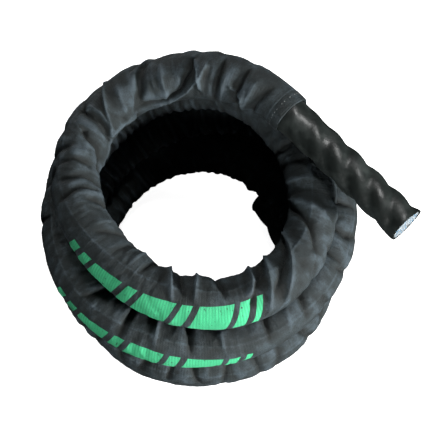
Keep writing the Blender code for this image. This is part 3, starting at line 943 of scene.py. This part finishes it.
def strand_tips(name, strand, far_end):
    """Cut yarn ends that stand a little proud of the rope's cut, some of them markers."""
    offset, circle = lobe_circle(ROPE_RADIUS, GROOVE_RADIUS)
    half_sector = math.pi / STRAND_COUNT
    steps = np.arange(-TIP_ROWS, TIP_ROWS + 1)
    across, up = np.meshgrid(steps, steps * TIP_ROW_SHARE)
    across = (across + 0.5 * (steps % 2)[:, None]) * TIP_PITCH + offset
    up = up * TIP_PITCH
    inside = np.hypot(across - offset, up) < circle - TIP_MARGIN
    inside &= across * math.sin(half_sector) - np.abs(up) * math.cos(half_sector) > TIP_MARGIN
    across, up = across[inside][:, None, None], up[inside][:, None, None]
    random = np.random.default_rng(TIP_SEED + 2 * strand + far_end)
    heights = random.uniform(*TIP_HEIGHTS, len(across))[:, None]
    along, share = np.array(TIP_OUTLINE).T
    distance = route.length if far_end else 0.0
    centre, outward, upward, tangent = route.frame(distance)
    outside = tangent if far_end else -tangent
    direction = math.tau * (strand / STRAND_COUNT - distance / LAY_LENGTH)
    turn = full_turn(TIP_SIDES)
    x = across + TIP_RADIUS * share[:, None] * np.cos(turn)
    y = up + TIP_RADIUS * share[:, None] * np.sin(turn)
    cosine, sine = math.cos(direction), math.sin(direction)
    reach = -TIP_BURIED + (TIP_BURIED + heights) * along
    tips = (centre + outward * (x * cosine - y * sine)[..., None]
            + upward * (x * sine + y * cosine)[..., None] + outside * reach[..., None, None])
    mesh = tube_mesh(name, tips, capped=True)
    numbers = np.arange(len(tips))
    side_faces = np.repeat(numbers, (len(TIP_OUTLINE) - 1) * TIP_SIDES)
    tip_numbers = np.concatenate((side_faces, numbers, numbers))
    marked = (tip_numbers % MARKER_EVERY == 0).astype(np.int32)
    mesh.polygons.foreach_set("material_index", marked)
    return mesh


def make_strand(name, node, strand, material, marker):
    """One laid strand from cut to cut, with its yarns' ends at both."""
    distances = np.linspace(0.0, route.length, round(route.length / STRAND_RING_STEP) + 1)
    x, y = strand_outline().T
    lay = math.tau * (strand / STRAND_COUNT - distances / LAY_LENGTH)
    angles = np.arctan2(y, x) + lay[:, None]
    on_arc = np.zeros(len(x))
    on_arc[STRAND_FLANK_SIDES:STRAND_FLANK_SIDES + STRAND_ARC_SIDES] = 1.0
    scallops = 1 - np.abs(np.sin(angles * YARN_COUNT / 2))
    rings = route.rings(distances, np.hypot(x, y) - YARN_GROOVE * on_arc * scallops, angles)
    mesh = tube_mesh(name, rings[None], capped=True)
    body = bmesh.new()
    for part in (mesh, strand_tips(name, strand, False), strand_tips(name, strand, True)):
        body.from_mesh(part)
    body.to_mesh(mesh)
    body.free()
    piece = make_piece(name, mesh, material)
    mesh.materials.append(marker)
    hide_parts(node)


# The colour sockets of a mix node, which share their names with others
MIX_FIRST, MIX_SECOND, MIX_RESULT = 6, 7, 2


class Graph:
    """Adds nodes to a material or to the world and links them."""

    def __init__(self, owner, shader="Principled BSDF"):
        self.owner = owner
        owner.use_nodes = True
        self.tree = owner.node_tree
        self.shader = self.tree.nodes[shader]

    def put(self, socket, value):
        if isinstance(value, bpy.types.NodeSocket):
            self.tree.links.new(value, socket)
        else:
            socket.default_value = value

    def node(self, kind, settings=None, **inputs):
        node = self.tree.nodes.new(kind)
        for key, value in (settings or {}).items():
            setattr(node, key, value)
        for key, value in inputs.items():
            self.put(node.inputs[key.replace("_", " ")], value)
        return node

    def math(self, operation, *values):
        node = self.node("ShaderNodeMath", {"operation": operation})
        for socket, value in zip(node.inputs, values):
            self.put(socket, value)
        return node.outputs[0]

    def mix(self, share, first, second):
        """One colour for a share of 0, the other for 1."""
        node = self.node("ShaderNodeMix", {"data_type": "RGBA"}, Factor=share)
        self.put(node.inputs[MIX_FIRST], first)
        self.put(node.inputs[MIX_SECOND], second)
        return node.outputs[MIX_RESULT]

    def noise(self, scale, detail):
        place = self.node("ShaderNodeTexCoord").outputs["Object"]
        noise = self.node("ShaderNodeTexNoise", Vector=place, Scale=scale, Detail=detail)
        return noise.outputs["Fac"]

    def range(self, value, low, high, to_low=0.0, to_high=1.0):
        node = self.node("ShaderNodeMapRange", Value=value, From_Min=low, From_Max=high,
                         To_Min=to_low, To_Max=to_high)
        return node.outputs[0]

    def pattern(self, scale, detail, low, high):
        """Noise, with its values from low to high stretched from 0 to 1."""
        return self.range(self.noise(scale, detail), low, high)

    def ramp(self, value, stops, interpolation="LINEAR"):
        """A brightness by the value, from stops that each have a place and a brightness."""
        node = self.node("ShaderNodeValToRGB", Fac=value)
        node.color_ramp.interpolation = interpolation
        elements = node.color_ramp.elements
        elements.remove(elements[1])
        for index, (place, light) in enumerate(stops):
            stop = elements.new(place) if index else elements[0]
            stop.color = (light, light, light, 1.0)
        return node.outputs["Color"]

    def wave(self, value, pitch):
        return self.math("SINE", self.math("MULTIPLY", value, math.tau / pitch))

    def bump(self, height, distance, normal=None):
        bump = self.node("ShaderNodeBump", Height=height, Distance=distance)
        if normal is not None:
            self.put(bump.inputs["Normal"], normal)
        return bump.outputs["Normal"]

    def bumps(self, rows, normal=None):
        """Bumps of noise on each other, each with its scale, detail and height."""
        for scale, detail, height in rows:
            normal = self.bump(self.noise(scale, detail), height, normal)
        return normal

    def finish(self, colour, roughness, normal, **plain):
        self.put(self.shader.inputs["Base Color"], colour)
        self.put(self.shader.inputs["Roughness"], roughness)
        self.put(self.shader.inputs["Normal"], normal)
        for key, value in plain.items():
            self.shader.inputs[key.replace("_", " ")].default_value = value
        return self.owner


# The cloth's colours, by tone, and what its tone is made of: its start, then the shares of the
# crests, the mottle, the grain and the ribs. The crests' share is painted light: painted shade
# toward the dark colour in the creases, and a painted bluish highlight toward the light colour on
# the ridges; the mottle, grain and ribs are the cloth's own tone.
CLOTH_DARK_AND_PAINTED_SHADE = (0.012, 0.014, 0.0135, 1)
CLOTH_MIDDLE = (0.021, 0.0272, 0.0288, 1)
# The light colour: painted highlight on the crests as well as the lighter mottle of the cloth
CLOTH_LIGHT_AND_PAINTED_HIGHLIGHT = (0.052, 0.07, 0.082, 1)
MIDDLE_TONE = 0.55
LIGHT_TONE = 1.15
TONE_START = 0.15
TONE_SHARES = (0.42, 0.45, 0.2, 0.05)
CLOTH_ROUGHNESS = (0.66, 0.52)

RIB_PITCH = 2.7 * MM
RIB_DEPTH = 0.12 * MM
RIB_WAVER = 0.5 * MM
RIB_WAVER_NOISE = (90, 3)
RIB_LEAST = 0.25
WEAVE_PITCH = 0.9 * MM
WEAVE_DEPTH = 0.12 * MM

# Patterns of noise: scale, detail, and the values that become 0 and 1
RIB_PATCHES = (28, 3, 0.38, 0.62)
MOTTLE = (70, 6, 0.35, 0.65)
GRAIN = (600, 3, 0.35, 0.65)
WEAR = (260, 4, 0.28, 0.36)
SCUFFS = (55, 5, 0.45, 0.7)
FIBRE_TONES = (1100, 4, 0.3, 0.7)

# Bumps of noise: scale, detail and height
CLOTH_BUMPS = ((420, 3, 0.25 * MM),)
FILM_BUMPS = ((160, 3, 0.5 * MM), (1300, 2, 0.06 * MM))
FIBRE_BUMPS = ((2200, 3, 0.4 * MM),)
FLOOR_BUMPS = ((40, 3, 0.1 * MM),)

FILM_DARK = (0.011, 0.014, 0.013, 1)
FILM_LIGHT = (0.022, 0.028, 0.026, 1)
FILM_ROUGHNESS = (0.38, 0.55)

# Yarns: the dark and the light of their fibres
FIBRE_COLOURS = ((0.1, 0.125, 0.14, 1), (0.3, 0.34, 0.36, 1))
MARKER_COLOURS = ((0.02, 0.07, 0.13, 1), (0.07, 0.18, 0.27, 1))
THREAD_COLOURS = ((0.13, 0.14, 0.14, 1), (0.3, 0.32, 0.32, 1))
FIBRE_ROUGHNESS = 0.8

# The print: its colours, where its two rows start, how long and high they are, their slant, and
# the bars of a row as shares of its length
PRINT_GREEN = (0.055, 0.44, 0.205, 1)
PRINT_SHADE = (0.038, 0.31, 0.145, 1)
PRINT_AZIMUTHS = (207, 572)
PRINT_LENGTH = 0.205
PRINT_HEIGHT = 0.034
PRINT_SLANT = 0.3
BAR_SHARES = ((0, 0.05), (0.08, 0.13), (0.16, 0.32), (0.35, 0.4), (0.43, 0.59),
              (0.62, 0.67), (0.7, 0.86), (0.89, 0.94), (0.97, 1))
LAST_STOP = 0.999


def print_mask(graph, along, across):
    """1 on the bars of both rows, less where they are worn, and 0 elsewhere."""
    starts = [float(route.distance_at(azimuth)) for azimuth in PRINT_AZIMUTHS]
    second_row = graph.math("GREATER_THAN", along, (starts[0] + starts[1]) / 2)
    row_start = graph.math("MULTIPLY_ADD", second_row, starts[1] - starts[0], starts[0])
    row_place = graph.math("SUBTRACT", along, row_start)
    slanted = graph.math("MULTIPLY_ADD", across, -PRINT_SLANT, row_place)
    stops = [stop for start, end in BAR_SHARES
             for stop in ((start, 1.0), (min(end, LAST_STOP), 0.0))]
    bars = graph.ramp(graph.math("DIVIDE", slanted, PRINT_LENGTH), stops, "CONSTANT")
    mask = graph.math("GREATER_THAN", slanted, 0.0)
    for other in (graph.math("LESS_THAN", slanted, PRINT_LENGTH),
                  graph.math("LESS_THAN", graph.math("ABSOLUTE", across), PRINT_HEIGHT / 2),
                  bars, graph.pattern(*WEAR)):
        mask = graph.math("MULTIPLY", mask, other)
    return mask


def sleeve_material():
    graph = Graph(bpy.data.materials.new("sleeve_cloth"))
    place = graph.node("ShaderNodeUVMap", {"uv_map": "cloth"}).outputs["UV"]
    split = graph.node("ShaderNodeSeparateXYZ", Vector=place)
    along, across = split.outputs["X"], split.outputs["Y"]

    waver = graph.range(graph.noise(*RIB_WAVER_NOISE), 0.0, 1.0, -RIB_WAVER, RIB_WAVER)
    ribs = graph.wave(graph.math("ADD", along, waver), RIB_PITCH)
    ribs = graph.math("MULTIPLY_ADD", ribs, 0.5, 0.5)
    patches = graph.range(graph.pattern(*RIB_PATCHES), 0.0, 1.0, RIB_LEAST, 1.0)
    ribs = graph.math("MULTIPLY", ribs, patches)
    weave = graph.math("MULTIPLY", graph.wave(along, WEAVE_PITCH), graph.wave(across, WEAVE_PITCH))

    mottle = graph.pattern(*MOTTLE)
    # The crests' tone: painted shade in the creases and painted highlight on the ridges
    crest = graph.node("ShaderNodeAttribute", {"attribute_name": "crest"}).outputs["Fac"]
    tone = TONE_START
    for value, share in zip((crest, mottle, graph.pattern(*GRAIN), ribs), TONE_SHARES):
        tone = graph.math("MULTIPLY_ADD", value, share, tone)
    # The dark colour is painted shade as well as darker cloth; the light colour is painted
    # highlight as well as lighter mottle
    cloth = graph.mix(graph.range(tone, 0.0, MIDDLE_TONE), CLOTH_DARK_AND_PAINTED_SHADE, CLOTH_MIDDLE)
    cloth = graph.mix(graph.range(tone, MIDDLE_TONE, LIGHT_TONE), cloth, CLOTH_LIGHT_AND_PAINTED_HIGHLIGHT)
    green = graph.mix(ribs, PRINT_SHADE, PRINT_GREEN)
    colour = graph.mix(print_mask(graph, along, across), cloth, green)

    normal = graph.bump(ribs, RIB_DEPTH, graph.bump(weave, WEAVE_DEPTH))
    normal = graph.bumps(CLOTH_BUMPS, normal)
    roughness = graph.range(mottle, 0.0, 1.0, *CLOTH_ROUGHNESS)
    return graph.finish(colour, roughness, normal, Sheen_Weight=0.02, Sheen_Roughness=0.4,
                        Sheen_Tint=(0.75, 0.88, 1.0, 1.0), Specular_IOR_Level=0.15)


def film_material():
    graph = Graph(bpy.data.materials.new("boot_film"))
    scuffs = graph.pattern(*SCUFFS)
    colour = graph.mix(scuffs, FILM_DARK, FILM_LIGHT)
    roughness = graph.range(scuffs, 0.0, 1.0, *FILM_ROUGHNESS)
    return graph.finish(colour, roughness, graph.bumps(FILM_BUMPS), Specular_IOR_Level=0.5,
                        Coat_Weight=0.05, Coat_Roughness=0.25)


def fibre_material(name, dark, light):
    """Polyester yarn: fine fibres along it, cut and frayed at its end."""
    graph = Graph(bpy.data.materials.new(name))
    colour = graph.mix(graph.pattern(*FIBRE_TONES), dark, light)
    return graph.finish(colour, FIBRE_ROUGHNESS, graph.bumps(FIBRE_BUMPS), Sheen_Weight=0.2)


def make_camera():
    """The photograph's camera: it looks at its target from above the front, a little rolled."""
    data = bpy.data.cameras.new("camera")
    data.sensor_width = SENSOR_WIDTH
    data.lens = FOCAL_PIXELS * SENSOR_WIDTH / PHOTO_SIZE
    camera = add_object("camera", data)
    level_right = np.array((1.0, 0.0, 0.0))
    level_up = np.array((0.0, math.sin(CAMERA_ELEVATION), math.cos(CAMERA_ELEVATION)))
    back = np.array((0.0, -math.cos(CAMERA_ELEVATION), math.sin(CAMERA_ELEVATION)))
    right = level_right * math.cos(CAMERA_ROLL) + level_up * math.sin(CAMERA_ROLL)
    up = level_up * math.cos(CAMERA_ROLL) - level_right * math.sin(CAMERA_ROLL)
    eye = np.array(CAMERA_TARGET) + CAMERA_DISTANCE * back
    columns = np.stack((right, up, back, eye), axis=1)
    camera.matrix_world = Matrix((*columns.tolist(), (0.0, 0.0, 0.0, 1.0)))
    bpy.context.scene.camera = camera


FLOOR_HALF = 40.0
FLOOR_DROP = 0.2 * MM
FLOOR_GLOW = 0.95
FLOOR_LIGHT = (1, 1, 1, 1)
FLOOR_PALE = (0.85, 0.85, 0.85, 1)
FLOOR_ROUGHNESS = 0.9


def make_floor():
    """A pale floor. It doesn't light the part, because the white one in the photograph didn't."""
    corners = ((-1, -1), (1, -1), (1, 1), (-1, 1))
    mesh = bpy.data.meshes.new("floor")
    mesh.from_pydata([(x * FLOOR_HALF, y * FLOOR_HALF, -FLOOR_DROP) for x, y in corners], [],
                     [(0, 1, 2, 3)])
    floor = add_object("floor", mesh)
    graph = Graph(bpy.data.materials.new("floor"))
    graph.shader.inputs["Emission Color"].default_value = FLOOR_LIGHT
    graph.shader.inputs["Emission Strength"].default_value = FLOOR_GLOW
    mesh.materials.append(graph.finish(FLOOR_PALE, FLOOR_ROUGHNESS, graph.bumps(FLOOR_BUMPS)))
    floor.visible_diffuse = False
    floor.visible_glossy = False


# Sky brightness by height, from -1 straight down to 1 straight up
SKY = ((-1, 0.1), (-0.05, 0.12), (0.02, 0.2), (0.3, 0.18), (0.5, 0.2), (1, 0.32))
# Lights: name, place, width across and power
LIGHTS = (
    ("key", (1.85, -0.86, 0.66), 0.4, 112),
    ("top", (0.1, 0.6, 2), 0.4, 18),
    ("front", (0.4, -2.1, 0.62), 0.4, 52),
    ("back", (-0.9, 2, 0.5), 1.2, 24),
)
LIGHT_AIM = (0, 0, 0.1)


def make_sky():
    world = bpy.data.worlds.new("studio")
    bpy.context.scene.world = world
    graph = Graph(world, "Background")
    place = graph.node("ShaderNodeTexCoord").outputs["Generated"]
    height = graph.node("ShaderNodeSeparateXYZ", Vector=place).outputs["Z"]
    stops = [((z + 1) / 2, light) for z, light in SKY]
    graph.put(graph.shader.inputs["Strength"], graph.ramp(graph.range(height, -1.0, 1.0), stops))


def make_studio():
    make_sky()
    for name, place, size, power in LIGHTS:
        data = bpy.data.lights.new(name, "AREA")
        data.shape = "DISK"
        data.size = size
        data.energy = power
        light = add_object(name, data)
        light.location = place
        toward = Vector(LIGHT_AIM) - light.location
        light.rotation_mode = "QUATERNION"
        light.rotation_quaternion = toward.to_track_quat("-Z", "Y")
    bpy.context.scene.view_settings.view_transform = "Standard"


ENDS = (("near", False), ("far", True))

cloth = sleeve_material()
film = film_material()
fibre = fibre_material("rope_fibre", *FIBRE_COLOURS)
marker = fibre_material("marker_fibre", *MARKER_COLOURS)
thread = fibre_material("thread", *THREAD_COLOURS)

sleeve = make_sleeve(cloth)
for end, is_far in ENDS:
    make_boot(f"{end}_boot_film", f"{end}_boot", is_far, film)
near_hem, far_hem = [
    make_hem(f"{end}_hem", f"{end}_sleeve_hem", is_far, cloth) for end, is_far in ENDS]
near_stitches, far_stitches = [
    make_stitches(f"{end}_hem_stitches", is_far, thread) for end, is_far in ENDS]
for number, letter in enumerate("abc"):
    make_strand(f"strand_{letter}", f"rope_strand_{letter}", number, fibre, marker)

make_camera()
make_floor()
make_studio()
